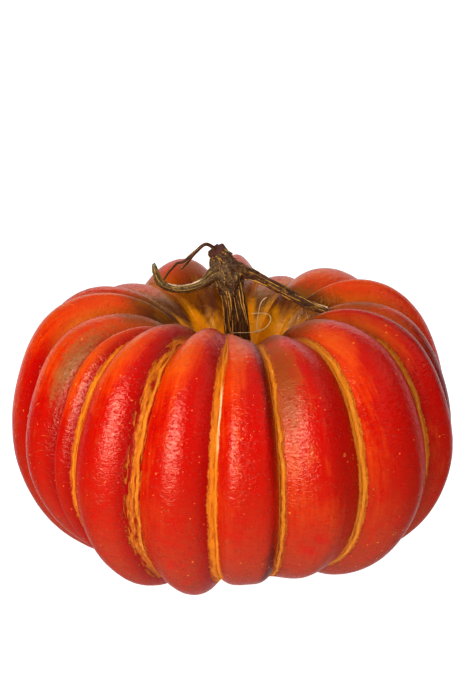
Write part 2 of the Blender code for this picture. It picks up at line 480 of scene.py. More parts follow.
def lobeDistances(points, lobe):
    # mm over the surface from a lobe's left seam: to a point, the next point, the crest and the right seam
    steps = np.linalg.norm(np.roll(points, -1, axis=1) - points, axis=2) / mm
    near, crest, whole = np.zeros_like(steps), np.zeros_like(steps), np.zeros_like(steps)
    for number in range(len(fruit["lobes"])):
        columns = np.flatnonzero(lobe == number)
        runs = np.cumsum(steps[:, columns], axis=1)
        near[:, columns[1:]] = runs[:, :-1]
        crest[:, columns] = runs[:, len(columns) // 2 - 1][:, None]
        whole[:, columns] = runs[:, -1:]
    return near, near + steps, crest, whole


def joinedLobes(along, lobe, near, whole):
    # 1 in the middle of the place where two lobes run together, falling to 0 round it
    bridged = fruit["bridged"]
    level = np.exp(-(((along - bridged["along"]) / bridged["reach"]) ** 2))[:, None]
    fromRight = np.where(lobe == bridged["seam"] - 1, whole - near, np.inf)
    fromSeam = np.where(lobe == bridged["seam"], near, fromRight)
    return level * np.exp(-((fromSeam / bridged["width"]) ** 2))


def patchAmounts(along, run, lobe, across, fromCrest):
    # for each colour, 1 in the middle of its patches, falling to 0 round them
    amounts = {}
    for name, spots in patches.items():
        amount = np.zeros(fromCrest.shape)
        for number, place, level, wide, tall in spots:
            columns = np.flatnonzero(lobe == number)
            centre = np.array([np.interp(place, across[columns], row) for row in fromCrest[:, columns]])
            high = np.interp(level, along, run)
            spread = ((fromCrest - centre[:, None]) / wide) ** 2 + ((run[:, None] - high) / tall) ** 2
            amount = np.maximum(amount, np.where(lobe == number, np.exp(-spread), 0.0))
        amounts[name] = amount
    return amounts


def fruitGrid():
    along, path, outward, run = seamRows()
    lobe, across = lobeColumns()
    azimuth = lobeAzimuths(along, lobe, across)
    power = np.array([fruit["squareLobes"].get(number, fruit["usualSquare"]) for number in lobe])
    heights = lobeHeights(along, lobe) * (1 - np.abs(across) ** power)
    points = fruitPoints(path, outward, azimuth, heights)

    # distances from the nearest seam and from the crest are taken on the smooth lobes
    near, far, crest, whole = lobeDistances(points, lobe)
    seamStart = np.where(across < 0, 0.0, whole)
    apart, fromCrest = near - seamStart, near - crest
    seam = np.where(across < 0, lobe, lobe + 1) % len(fruit["lobes"])
    flatRun, flatAlong = (np.broadcast_to(given[:, None], apart.shape) for given in (run, along))
    seamNumber, lobeNumber = (np.broadcast_to(given * 1.0, apart.shape) for given in (seam, lobe))

    # cork fills the bottom of each seam and stands up in an uneven ridge
    cork = np.array(seamCork)[seam]
    joined = joinedLobes(along, lobe, near, whole)
    ends = (ramp(along, *corkShape["comes"]) * ramp(along, *corkShape["goes"]))[:, None] * (1 - joined)
    halfWidth = cork[:, 0] * (corkShape["thinnest"] + (1 - corkShape["thinnest"]) * ends)
    bed = corkShape["bed"] * halfWidth * mm * ends + joined * fruit["bridged"]["rise"]
    grain = [apart * corkShape["raggedAcross"], flatRun * corkShape["raggedAlong"], seamNumber * 9.0]
    ragged = lumps(np.stack(grain, axis=-1), 1.0, 3)
    band = smooth(corkShape["edge"] - np.abs(apart) / (halfWidth * (1 + corkShape["ragged"] * ragged)))
    heights = np.sqrt(heights**2 + bed**2) + band * (0.7 + 0.5 * ragged) * corkShape["rise"] * ends

    swell = lumps(points, fruit["swellSize"], 2, 4.0) * fruit["swell"]
    dimples = lumps(points, fruit["dimpleSize"], 3, 11.0) * fruit["dimple"]
    uneven = swell * smooth(np.abs(apart) / fruit["swellClear"]) + dimples
    points = fruitPoints(path, outward, azimuth, heights + uneven * ramp(along, 0, 0.1)[:, None])

    amounts = patchAmounts(along, run, lobe, across, fromCrest)
    values = {
        "patch": np.stack([amounts["tan"], amounts["olive"], amounts["orange"] - amounts["red"]], axis=-1),
        # the maroon patches, partly painted shade
        "dusky": amounts["maroon"],
        "along": flatAlong,
    }
    thinned = halfWidth * (1 - fruit["bridged"]["thinsCork"] * joined)
    kind = [thinned, *(np.broadcast_to(cork[:, i], apart.shape) for i in (1, 2))]
    corners = {
        "seam": [np.stack([edge - seamStart, flatRun, seamNumber], axis=-1) for edge in (near, far)],
        "lobe": [np.stack([edge - crest, flatRun, lobeNumber], axis=-1) for edge in (near, far)],
        "seamKind": [np.stack(kind, axis=-1)] * 2,
    }
    return points, values, corners


def withEnds(given):
    # repeats the first ring for the crown floor's inner rings and the last for the blossom end's
    inner, outer = len(fruit["floorRings"]), len(fruit["button"])
    return np.concatenate([given[:1]] * inner + [given] + [given[-1:]] * outer)


def closeEnds(points):
    # carries the crown floor in to the middle, and the blossom end to a small corky button
    points[0, :, 2] = points[0, :, 2].mean()
    inward = [points[0] * (share, share, 1.0) for share in fruit["floorRings"]]
    centre = points[-1].mean(axis=0)
    button = []
    for share, rise in fruit["button"]:
        ring = centre + (points[-1] - centre) * (share, share, fruit["buttonTilt"])
        button.append(ring + (0.0, 0.0, rise * mm))
    return np.concatenate([inward, points, button])


def giveCorners(mesh, corners):
    # values that jump from one lobe or seam to the next, so that each face reads its own side's
    for key, (near, far) in corners.items():
        quads = np.stack([near[:-1], near[1:], far[1:], far[:-1]], axis=2).reshape(-1, 3)
        rest = np.broadcast_to(near[0].mean(axis=0), (len(mesh.loops) - len(quads), 3))
        layer = mesh.attributes.new(key, "FLOAT_VECTOR", "CORNER")
        layer.data.foreach_set("vector", np.vstack([quads, rest]).astype(np.float32).ravel())


def makeFruit(finish):
    points, values, corners = fruitGrid()
    low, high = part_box("fruit")
    axis = (np.array(low) + np.array(high)) / 2 - (points.min(axis=(0, 1)) + points.max(axis=(0, 1))) / 2
    axis[2] = 0.0
    grid = {"points": closeEnds(points) + axis, "outsideIn": True}
    grid["values"] = {key: withEnds(given) for key, given in values.items()}
    made = makePiece("fruitSkin", [grid], finish)
    giveCorners(made.data, {key: [withEnds(edge) for edge in edges] for key, edges in corners.items()})
    standsFor(made, "skin", "fruit")
    print("fruit:", len(made.data.polygons), "faces, axis at", [round(v, 4) for v in axis])
    return axis


# the rind's colours, gloss, and the sizes of its marks in mm
skinLook = {
    "red": (0.56, 0.0050, 0.0002),
    "orange": (0.72, 0.062, 0.0004),
    "amber": (0.80, 0.14, 0.004),
    "deepRed": (0.38, 0.0010, 0.0004),
    # painted shade with a painted reflection of the floor, for the lower lobes
    "dusk": (0.43, 0.048, 0.013),
    # maroon is also the colour of the painted shade in the maroon patches
    "maroon": (0.085, 0.004, 0.003),
    "cork": (0.82, 0.27, 0.001),
    "corkDull": (0.56, 0.140, 0.001),
    "corkDark": (0.36, 0.055, 0.002),
    "corkPale": (1.0, 0.58, 0.20),
    # a painted highlight on one seam's raised cork ridge
    "corkCream": (1.0, 0.76, 0.46),
    "crownGold": (1.0, 0.44, 0.0005),
    "crownOlive": (0.34, 0.120, 0.001),
    "crownBrown": (0.17, 0.036, 0.002),
    "shoulderGold": (0.72, 0.20, 0.004),
    "tan": (0.31, 0.17, 0.045),
    "olive": (0.28, 0.080, 0.006),
    "fleck": (1.0, 0.36, 0.07),
    "broadSize": 48,
    "mottleSize": 9,
    "speckleSize": 1.6,
    "dotSpacing": 3.4,
    "dashSpacing": 4.4,
    "scarSpacing": 30,
    "creaseSpacing": 1.5,
    "bumpSize": 4.5,
    "lowPart": (0.47, 0.72),  # along the lobes, from 0 at the crown to 1 underneath
    "shoulder": (0.30, 0.50),
    "rim": (44, 72),  # how far out from the crown floor the red begins, and the cork
    "corkShows": (52, 84),
    "rough": 0.17,
    "gloss": {"Specular IOR Level": 0.80, "Specular Tint": (1.0, 0.89, 0.70, 1.0)},
}


def skinMaps(shade, look):
    # where a point is on the rind, in mm, and the noises that colours and bumps share
    maps = SimpleNamespace(place=shade.place())
    maps.along, maps.dusky = shade.attribute("along"), shade.attribute("dusky")
    maps.toRight, maps.back, _ = shade.parts(maps.place)
    maps.apart, maps.run, maps.seamNumber = shade.parts(shade.attribute("seam", "Vector"))
    maps.across, _, maps.lobeNumber = shade.parts(shade.attribute("lobe", "Vector"))
    maps.halfWidth, maps.braided, maps.bright = shade.parts(shade.attribute("seamKind", "Vector"))
    maps.tan, maps.olive, maps.warm = shade.parts(shade.attribute("patch", "Vector"))
    maps.broad = shade.noise(maps.place, look["broadSize"], 2, 0.5, 0.5)
    maps.mottle = shade.noise(maps.place, look["mottleSize"], 4, 0.6, 0.6)
    maps.speckle = shade.noise(maps.place, look["speckleSize"], 4, 0.7)
    lengthwise = shade.vector(maps.across * 0.42, maps.run * 0.040, maps.lobeNumber * 7.3)
    maps.streaks = shade.noise(lengthwise, 1.0, 5, 0.6, 0.3)
    maps.low = shade.step(maps.along, *look["lowPart"])
    return maps


def rindColour(shade, look, maps):
    # orange on the shoulders and crests, red between, and duller and pinker below, which is painted shade
    # with a painted reflection of the floor
    drift = (maps.broad - 0.5) * 1.1 + (maps.mottle - 0.5) * 0.8 + (maps.streaks - 0.5) * 1.1
    # each lobe's left half is drawn more orange and its right half redder: partly the rind's own colour,
    # partly painted light and shade from the left
    drift = drift - maps.across * 0.012
    shoulder = 1 - shade.step(maps.along, *look["shoulder"])
    orange = shade.step(drift + shoulder * 0.50 + maps.warm * 0.6, -0.05, 0.60)
    amber = shade.step(drift + shoulder * 0.30 + maps.warm * 0.7, 0.45, 1.0)
    # painted shade with a painted floor reflection over the lower lobes
    dusk = maps.low * shade.step(maps.mottle + maps.broad * 0.5, 0.30, 0.85)
    colour = shade.mix(look["red"], look["orange"], orange)
    colour = shade.mix(colour, look["amber"], amber * 0.7)
    colour = shade.mix(colour, look["dusk"], dusk)

    # deeper red beside the seams: partly the rind's own colour and partly painted shade in the seams'
    # valleys, strongest on each lobe's right side, which is painted as the shaded side
    onRight = shade.step(maps.apart, -0.5, 0.5)
    corkSide = maps.halfWidth * 0.8
    seamShadeAndRed = 1 - shade.step(abs(maps.apart), corkSide, corkSide + (13 - onRight * 9))
    colour = shade.mix(colour, look["deepRed"], seamShadeAndRed * (0.55 + maps.mottle * 0.7) * (1 - onRight * 0.6))

    # golden beside the seams on the shoulder, but not in front
    golden = (1 - shade.step(abs(maps.apart), 3, 18)) * (1 - shade.step(maps.run, 92, 135))
    golden = golden * shade.step(maps.back, -66, -24)
    return shade.mix(colour, look["shoulderGold"], golden * (0.45 + maps.mottle * 0.7))


def weatheredAndShadedColour(shade, look, maps, colour):
    # maroon patches, partly painted shade, then olive and tan weathered patches
    mottle, streaks, speckle = maps.mottle - 0.5, maps.streaks - 0.5, maps.speckle - 0.5
    dusky = shade.step(maps.dusky + mottle * 0.7, 0.1, 1.0)
    maps.olived = shade.step(maps.olive * 1.1 + mottle * 0.9 + streaks * 1.1, 0.10, 1.15)
    maps.tanned = shade.step(maps.tan * 1.1 + mottle * 0.6 + speckle * 1.1 + streaks * 1.3, 0.15, 1.15)
    colour = shade.mix(colour, look["maroon"], dusky * 0.65)
    colour = shade.mix(colour, look["olive"], maps.olived * 0.75)
    return shade.mix(colour, look["tan"], maps.tanned * 0.75)


def crownColour(shade, look, maps, colour):
    # the crown: gold at the stalk's foot and in the valleys, olive brown on the crests, then the red rim
    fibrous = shade.vector(maps.across * 0.26, maps.run * 0.040, maps.lobeNumber * 4.1)
    fine = shade.noise(fibrous, 1.0, 4, 0.55, 0.6)
    fromFloor = maps.run + (maps.streaks - 0.5) * 12 + (fine - 0.5) * 8 + (maps.mottle - 0.5) * 22
    maps.fromFloor = fromFloor - shade.step(maps.back, -45, 10) * 13 + maps.warm.most(0.0) * 18
    valley = (1 - shade.step(abs(maps.apart), 1.5, 8.0)) * 16
    browned = shade.step(fine * 0.7 + maps.mottle * 0.4 + (maps.broad - 0.5), 0.45, 0.75)
    crests = shade.mix(look["crownOlive"], look["crownBrown"], browned)
    pastGold = maps.fromFloor - valley - shade.step(maps.toRight, -15, 20) * 6
    inside = shade.mix(look["crownGold"], crests, shade.step(pastGold, 9, 33))
    return shade.mix(inside, colour, shade.step(maps.fromFloor, *look["rim"]))


def fleckColour(shade, look, maps, colour):
    # pale flecks: round dots, and a few short streaks that turn this way and that
    dots, (chance, other, _) = shade.cells(maps.place, look["dotSpacing"])
    size = chance * chance * 0.27
    dot = 1 - shade.step(dots, size * 0.5, size + 0.02)
    dot = dot * shade.step(other + (maps.broad - 0.5), 0.66, 0.71)
    turn = (maps.broad - 0.5) * 7
    slantedX = maps.across * 0.32 + maps.run * turn * 0.25
    slantedY = maps.run * 1.1 - maps.across * turn
    slanted = shade.vector(slantedX, slantedY, maps.lobeNumber * 5.1)
    dashes, (chance, other, _) = shade.cells(slanted, look["dashSpacing"])
    dash = (1 - shade.step(dashes, 0.04, 0.10 + chance * 0.09)) * shade.step(other, 0.70, 0.76)
    maps.fleck = dot.most(dash) * shade.step(maps.run, 60, 90)
    return shade.mix(colour, look["fleck"], maps.fleck * 0.65)


def scarColour(shade, look, maps, colour):
    # sparse small scars, dark in the middle with a pale lip
    scars, (_, chance, _) = shade.cells(maps.place, look["scarSpacing"])
    fromMiddle = scars * look["scarSpacing"] + (maps.speckle - 0.5) * 2.0
    scarred = shade.step(chance, 0.60, 0.62)
    maps.lip = (1 - shade.step(fromMiddle, 1.2, 1.9)) * scarred
    maps.pit = (1 - shade.step(fromMiddle, 0.4, 0.9)) * scarred
    colour = shade.mix(colour, look["fleck"], maps.lip * 0.45)
    return shade.mix(colour, look["maroon"], maps.pit)


def creaseShadeColour(shade, look, maps, colour):
    # short creases across the lobes, their colour darkened with painted shade
    uneven = (maps.speckle - 0.5) * 1.6
    crossing = shade.vector(maps.across / 2.3 + uneven, maps.run / 1.2 + uneven, maps.lobeNumber * 9.9)
    creases, (chance, _, _) = shade.cells(crossing, look["creaseSpacing"])
    maps.creases = (1 - shade.step(creases, 0.12, 0.42)) * shade.step(chance, 0.45, 0.75)
    # painted shade in the creases
    return shade.tint(colour, (0.60, 0.30, 0.30), maps.creases * 0.15)


def corkColour(shade, look, maps, colour):
    # cork in the seams: bright strands cross and part over a duller bed, with slots of skin between them
    apart, run, number = maps.apart, maps.run, maps.seamNumber
    fibres = shade.noise(shade.vector(apart * 1.7, run * 0.24, number * 3.7), 1.0, 5, 0.7, 0.5)
    ragged = shade.noise(shade.vector(apart * 0.40, run * 0.50, number * 5.3), 1.0, 5, 0.75)
    sway = shade.noise(shade.vector(number * 9.1, run / 15, 0.0), 1.0, 3, 0.6) - 0.5
    edge = maps.halfWidth * (0.50 + ragged * 1.25 + sway * 0.8)
    band = 1 - shade.step(abs(apart), edge - 0.25, edge + 0.20)

    def swing(change, length, start):
        # a slow sway of one strand from side to side
        swaying = shade.noise(shade.vector(number * change, run / length, start), 1.0, 1)
        return (swaying - 0.5) * 1.5

    side = apart / maps.halfWidth
    uneven = (ragged - 0.5) * 0.5
    right = 1 - shade.step(abs(side - (0.42 + swing(4.3, 20, 3.0) + uneven)), 0.16, 0.50)
    left = 1 - shade.step(abs(side - (swing(6.7, 16, 8.0) + uneven - 0.40)), 0.12, 0.44)
    strand = right.most(left * 0.8)
    gaps = shade.noise(shade.vector(apart * 0.55, run * 0.10, number * 2.9), 1.0, 3, 0.6, 0.3)
    slots = shade.step(gaps, 0.47, 0.51) * (1 - strand) * maps.braided * band * shade.step(run, 70, 90)

    # the cork is a little lighter on the seam's right side, partly its own colour and partly painted light
    # from the left
    rightSide = shade.step(side, 0.05, 0.5)
    tone = fibres * 1.7 - 0.60 + strand * 0.30 + maps.bright * 0.50 - maps.low * 0.25 + rightSide * 0.08
    dark = (1 - shade.step(fibres + strand * 0.12, 0.38, 0.50)) * (0.30 + maps.braided * 0.5)
    # a painted highlight on the right side of the brightest seam's raised cork, part way down
    ridgeHighlight = shade.step(maps.bright, 1.2, 1.6) * rightSide * shade.step(run, 112, 124)
    ridgeHighlight = ridgeHighlight * (1 - shade.step(run, 146, 164))
    cork = shade.mix(look["corkDull"], look["cork"], shade.step(tone, 0.50, 0.95))
    cork = shade.mix(cork, look["corkDark"], dark)
    cork = shade.mix(cork, look["corkPale"], shade.step(fibres + strand * 0.15, 0.62, 0.84) * 0.6)
    cork = shade.mix(cork, look["corkCream"], ridgeHighlight * shade.step(fibres, 0.28, 0.50))

    inCrown = 1 - shade.step(run, *look["corkShows"])
    maps.cork = band * (1 - slots) * (1 - inCrown)
    maps.raised = (1 - shade.step(abs(apart), edge - 1.2, edge + 0.5)) * (1 - slots) * (1 - inCrown)
    maps.corkHeight = 0.15 + fibres * 0.65 + strand * 0.4
    colour = shade.mix(colour, look["deepRed"], slots)
    return shade.mix(colour, cork, maps.cork)


def skinFinish(look):
    shade = Shade(bpy.data.materials.new("waxyRind"))
    maps = skinMaps(shade, look)
    colour = rindColour(shade, look, maps)
    for layer in (weatheredAndShadedColour, crownColour, fleckColour, scarColour, creaseShadeColour, corkColour):
        colour = layer(shade, look, maps, colour)

    # fine wrinkles lie across the lobes
    crossing = shade.vector(maps.across / 3.6, maps.run / 1.7, maps.lobeNumber * 3.3)
    wrinkles = shade.noise(crossing, 1.0, 3, 0.6, 0.8)
    bumps = shade.noise(maps.place, look["bumpSize"], 3, 0.5, 0.6)
    height = wrinkles * 0.42 + bumps * 0.45 - maps.creases * 0.22
    height = height + maps.fleck * 0.08 + maps.lip * 0.3 - maps.pit * 0.6
    height = height + maps.raised * maps.corkHeight
    rough = look["rough"] + maps.speckle * 0.08 + maps.creases * 0.08 + maps.cork * 0.40
    rough = rough + maps.tanned * 0.15 + maps.olived * 0.22
    rough = rough + (1 - shade.step(maps.fromFloor, 30, 60)) * 0.08
    return shade.finish(colour, rough, height, mm, **look["gloss"])


# stems: routes in millimetres to the right, back and above the crown floor, as in the CAD
stalkLook = {
    "route": ((2.4, 0, 0.3), (2.2, 0, 14), (1.4, 0, 32), (0.4, 0, 48), (-1.2, 0, 58), (-3.0, 0, 66)),
    "radii": (11.2, 8.8, 8.1, 7.8, 7.5, 7.8),
    "rows": 190,
    "sides": 140,
    "ribs": 5,
    "ribDepth": 0.09,
    "ridges": 23,
    "ridgeHeight": 0.8,
    "ridgeWidth": 0.55,
    "wander": 0.26,
    "lumps": 0.30,
    "seed": 2.0,
}
knuckleLook = {
    "route": (
        (-2.2, 0, 57),
        (-3.0, 0, 63),
        (-4.6, 0, 69),
        (-6.2, 0.5, 75.5),
        (-8.6, 1.3, 82),
        (-11.2, 2, 88.2),
    ),
    "radii": (7.0, 8.8, 10.8, 10.2, 7.6, 4.8),
    "rows": 130,
    "sides": 130,
    "ribs": 4,
    "ribDepth": 0.05,
    "ridges": 15,
    "ridgeHeight": 0.7,
    "ridgeWidth": 0.8,
    "wander": 1.3,
    "lumps": 1.3,
    "seed": 5.0,
    "mottled": 1.0,
    "brokenEnd": 0.13,
}
vineLook = {
    "route": (
        (-5.0, 0, 75),
        (2.5, -0.3, 74.0),
        (9, -0.8, 72.0),
        (16, -1.6, 68.8),
        (26, -3, 63.2),
        (38, -5, 56.8),
        (51, -8, 49.2),
        (61.4, -10, 46.6),
    ),
    "radii": (8.0, 5.6, 3.9, 3.3, 3.2, 3.1, 3.0, 2.5),
    "rows": 260,
    "sides": 84,
    "ribs": 5,
    "ribDepth": 0.10,
    "ridges": 8,
    "ridgeHeight": 0.5,
    "ridgeWidth": 0.5,
    "wander": 0.45,
    "lumps": 0.3,
    "seed": 9.0,
    "mottled": 0.3,
    "highlightTop": 0.90,
    "brokenEnd": 0.02,
}
leafStalkLook = {
    "route": (
        (-3.0, -1.5, 70.0),
        (-9.0, -2.2, 73.4),
        (-13.6, -2.8, 72.6),
        (-18.0, -3.6, 68.8),
        (-23.0, -4.8, 66.0),
        (-29.5, -6.0, 64.2),
        (-36.5, -6.5, 63.8),
        (-43.5, -6.5, 64.8),
        (-48.6, -6.0, 67.8),
        (-51.2, -5.5, 72.0),
        (-52.2, -5.0, 76.2),
        (-53.0, -5.0, 80.4),
    ),
    "radii": (8.4, 8.2, 6.0, 4.1, 3.3, 2.9, 2.8, 2.8, 2.7, 2.4, 2.1, 1.3),
    "rows": 250,
    "sides": 64,
    "ribs": 4,
    "ribDepth": 0.10,
    "ridges": 9,
    "ridgeHeight": 0.4,
    "ridgeWidth": 0.4,
    "wander": 0.3,
    "lumps": 0.35,
    "seed": 14.0,
    "mottled": 0.6,
    "highlightTop": 0.86,
    "groove": 0.30,
    "grooveAt": 165,  # degrees round it
    "grooveWidth": 0.75,
    "brokenEnd": 0.04,
}


def stemSides(route):
    # two directions across the stem at each row, carried along it without a twist
    steps = np.gradient(route, axis=0)
    steps /= np.linalg.norm(steps, axis=1)[:, None]
    side = np.cross(steps[0], (0.0, 1.0, 0.0))
    sides, ups = [], []
    for step in steps:
        side = side - step * np.dot(side, step)
        side /= np.linalg.norm(side)
        sides.append(side)
        ups.append(np.cross(step, side))
    return np.array(sides), np.array(ups)


def stemRidges(look, angle, run, widths):
    # thin ridges wander along the stem, fade out and come back
    seed = look["seed"]
    ridge = np.zeros((look["rows"], look["sides"]))
    for number in range(look["ridges"]):
        spacing = number + 0.5 * noise.noise(Vector((number * 3.7, seed, 0.5)))
        first = 2 * math.pi * spacing / look["ridges"]
        spots = [Vector((r * 0.05, number * 4.3, seed)) for r in run]
        drift = np.array([noise.noise(spot) for spot in spots]) * look["wander"]
        strength = [0.85 + noise.noise(spot * 1.7 + Vector((0, 0, 7))) for spot in spots]
        away = (angle - first - drift[:, None] + math.pi) % (2 * math.pi) - math.pi
        crest = np.exp(-((away * widths[:, None] / look["ridgeWidth"]) ** 2))
        ridge = np.maximum(ridge, np.clip(strength, 0, 1)[:, None] * crest)
    return ridge


def stemGrid(look, axis, floor):
    places = np.linspace(0, 1, look["rows"])
    route = curveAt(look["route"], places)
    run = runsOf(route)
    widths = np.interp(places, np.linspace(0, 1, len(look["radii"])), look["radii"])
    sides, ups = stemSides(route)
    angle = np.linspace(0, 2 * math.pi, look["sides"], endpoint=False)[None, :]
    around = np.cos(angle)[..., None] * sides[:, None, :] + np.sin(angle)[..., None] * ups[:, None, :]
    ridge = stemRidges(look, angle, run, widths)
    radius = widths[:, None] * (1 + look["ribDepth"] * np.cos(look["ribs"] * angle))
    if "groove" in look:
        fromGroove = (angle - math.radians(look["grooveAt"])) / look["grooveWidth"]
        radius = radius * (1 - look["groove"] * np.exp(-(fromGroove**2)))
    smoothStem = route[:, None, :] + around * radius[..., None]
    rough = lumps(smoothStem, 5.0, 3, look["seed"]) * look["lumps"]
    radius = radius + (ridge - 0.35) * look["ridgeHeight"] + rough
    points = route[:, None, :] + around * radius[..., None]

    # a broken end slants and shows its inside
    cut = np.zeros_like(ridge)
    if "brokenEnd" in look:
        reach = look["brokenEnd"]
        cut = cut + smooth((places - 1 + reach * 0.22) / (reach * 0.12))[:, None]
        slope = smooth((places - 1 + reach * 1.5) / (reach * 1.5))[:, None]
        points[..., 2] += slope * 0.55 * (points[..., 1] - route[:, None, 1])
    # a painted highlight: pale along the upper side of thin stems
    topHighlight = smooth((around[..., 2] - look.get("highlightTop", 2.0)) / 0.06) * smooth((5.0 - radius) / 1.0)
    mottled = look.get("mottled", 0.0) * (0.5 + 0.5 * smooth((radius - 3.5) / 4))
    lengthwise = np.broadcast_to(run[:, None] * 0.09, radius.shape)
    grain = np.stack([radius * np.cos(angle), radius * np.sin(angle), lengthwise], axis=-1)
    kind = np.stack([cut, mottled, topHighlight], axis=-1)
    values = {"grain": grain + look["seed"] * 20, "ridge": ridge, "kind": kind}
    return {"points": points * mm + axis + (0, 0, floor), "values": values}


barkLooks = {
    "stalk": {
        "dark": (0.040, 0.014, 0.005),
        "brown": (0.19, 0.080, 0.025),
        "gold": (0.66, 0.36, 0.080),
        "pale": (0.86, 0.64, 0.30),
        "tinge": (0.24, 0.15, 0.02),
        "grey": (0.26, 0.17, 0.12),
        "cut": (0.30, 0.085, 0.055),
        "rough": 0.55,
    },
    "vine": {
        "dark": (0.050, 0.018, 0.010),
        "brown": (0.18, 0.070, 0.030),
        "gold": (0.70, 0.38, 0.050),
        "pale": (0.85, 0.60, 0.36),
        "tinge": (0.46, 0.24, 0.02),
        "grey": (0.23, 0.155, 0.085),
        "cut": (0.15, 0.055, 0.035),
        "rough": 0.55,
    },
    "leafStalk": {
        "dark": (0.075, 0.038, 0.014),
        "brown": (0.22, 0.115, 0.042),
        "gold": (0.62, 0.40, 0.10),
        "pale": (0.86, 0.66, 0.50),
        "tinge": (0.30, 0.19, 0.05),
        "grey": (0.25, 0.17, 0.09),
        "cut": (0.30, 0.25, 0.18),
        "rough": 0.55,
    },
    "tendril": {
        "dark": (0.050, 0.020, 0.009),
        "brown": (0.21, 0.085, 0.030),
        "gold": (0.66, 0.36, 0.11),
        "pale": (0.75, 0.50, 0.26),
        "tinge": (0.26, 0.09, 0.02),
        "grey": (0.30, 0.18, 0.10),
        "cut": (0.15, 0.12, 0.08),
        "rough": 0.45,
    },
    "fibre": {
        "dark": (0.60, 0.38, 0.18),
        "brown": (0.80, 0.60, 0.36),
        "gold": (0.90, 0.72, 0.46),
        "pale": (1.0, 0.92, 0.78),
        "tinge": (0.90, 0.62, 0.25),
        "grey": (0.90, 0.80, 0.62),
        "cut": (0.9, 0.8, 0.6),
        "rough": 0.40,
    },
}


def barkFinish(name, look):
    shade = Shade(bpy.data.materials.new(name))
    place = shade.place()
    grain = shade.attribute("grain", "Vector")
    ridge = shade.attribute("ridge")
    cut, mottled, topHighlight = shade.parts(shade.attribute("kind", "Vector"))
    fibres = shade.noise(grain, 0.9, 4, 0.65)
    speck = shade.noise(place, 0.9, 4, 0.7, 0.6)
    blotch = shade.noise(place, 4.5, 4, 0.6, 0.8)
    colour = shade.mix(look["dark"], look["brown"], shade.step(fibres + (speck - 0.5) * 0.4, 0.38, 0.64))
    colour = shade.mix(colour, look["tinge"], shade.step(blotch, 0.52, 0.68) * 0.6)
    greyed = shade.step(blotch * 0.6 + speck * 0.6, 0.50, 0.70) * mottled
    colour = shade.mix(colour, look["grey"], greyed * 0.8)
    worn = ridge * (0.9 - mottled * 0.35) + (fibres - 0.5) * 0.9 + (speck - 0.5) * (0.7 + mottled * 2.2)
    colour = shade.mix(colour, look["gold"], shade.step(worn, 0.46, 0.68))
    colour = shade.mix(colour, look["pale"], shade.step(worn, 0.80, 1.05))
    pits = (1 - shade.step(speck, 0.34, 0.42)) * (0.4 + mottled * 0.6)
    colour = shade.mix(colour, look["dark"], pits)
    # the painted highlight along the top of thin stems
    highlighted = topHighlight * shade.step(fibres + speck * 0.5, 0.50, 0.75)
    colour = shade.mix(colour, look["pale"], highlighted * 0.9)
    cutColour = shade.tint(look["cut"], (0.45, 0.38, 0.35), shade.step(speck, 0.50, 0.62) * 0.6)
    colour = shade.mix(colour, cutColour, cut)
    height = (fibres * 0.5 + speck * 0.35) * (1 - cut * 0.6) + shade.noise(place, 0.5, 2) * 0.08
    return shade.finish(colour, look["rough"] + speck * 0.25, height, mm)


def makeStems(axis, floor):
    stems = (  # the piece, its stems, its finish and colours, then its slot and the solid it stands for
        ("stalkBark", (stalkLook,), "ribbedBark", "stalk", "stalk_bark", "stalk"),
        ("vineBark", (knuckleLook, vineLook), "mottledBark", "vine", "vine_bark", "vine"),
        ("leafStalkSkin", (leafStalkLook,), "greyGreenBark", "leafStalk", "dry_green", "leaf_stalk"),
    )
    for name, looks, bark, colours, slot, solid in stems:
        grids = [stemGrid(look, axis, floor) for look in looks]
        made = makePiece(name, grids, barkFinish(bark, barkLooks[colours]))
        standsFor(made, slot, solid)
        print(name + ":", len(made.data.polygons), "faces")


# dried tendril and loose fibres, on the CAD's routes, measured like the stems'
threads = {
    "tendril": {
        "route": (
            (-12.4, 1.2, 88.6),
            (-13.4, 0.9, 89.6),
            (-15.6, -0.4, 91.8),
            (-18.2, -1.6, 93.0),
            (-20.4, -2.4, 92.2),
            (-22.4, -3.0, 90.6),
            (-24.6, -3.6, 88.8),
            (-29.3, -4.6, 85.4),
            (-32.2, -5.4, 82.8),
            (-34.4, -5.8, 81.6),
            (-36.6, -6.0, 81.8),
            (-38.6, -6.2, 81.0),
            (-40.6, -6.4, 78.4),
            (-43.4, -6.8, 75.8),
            (-45.4, -7.6, 73.0),
            (-46.4, -9.0, 71.4),
        ),
        "radii": (1.3, 1.15, 1.05, 0.95, 0.8, 0.7, 0.6),
        "rows": 260,
        "seed": 21.0,
    },
    "fork": {
        "route": (
            (-22.0, -3.2, 90.6),
            (-24.2, -3.8, 88.8),
            (-26.0, -5.0, 87.2),
            (-29.4, -7.0, 83.6),
            (-32.2, -8.6, 80.6),
            (-35.0, -10.0, 78.4),
        ),
        "radii": (0.8, 0.9, 0.8, 0.7, 0.45),
        "rows": 120,
        "seed": 23.0,
    },
    "loop": {
        "route": (
            (-2.4, -10.6, 33.4),
            (3.0, -11.6, 33.6),
            (9.6, -11.2, 33.4),
            (13.4, -10.0, 33.4),
            (18.2, -8.6, 34.2),
            (22.2, -7.4, 37.0),
            (24.4, -6.6, 41.0),
            (22.6, -6.0, 44.4),
            (18.4, -5.8, 45.4),
            (13.8, -5.6, 45.2),
            (10.6, -5.0, 44.6),
        ),
        "radii": (0.2, 0.2, 0.2, 0.8, 0.25, 0.2, 0.2, 0.25, 0.25, 0.2),
        "rows": 220,
        "seed": 31.0,
    },
    "strand": {
        "route": (
            (14.2, -4.0, 30.0),
            (14.4, -4.6, 39.2),
            (16.6, -5.0, 50.0),
            (18.2, -5.2, 54.0),
            (21.4, -5.4, 56.0),
        ),
        "radii": (0.2, 0.25, 0.3, 0.4, 0.25),
        "rows": 120,
        "seed": 37.0,
    },
}

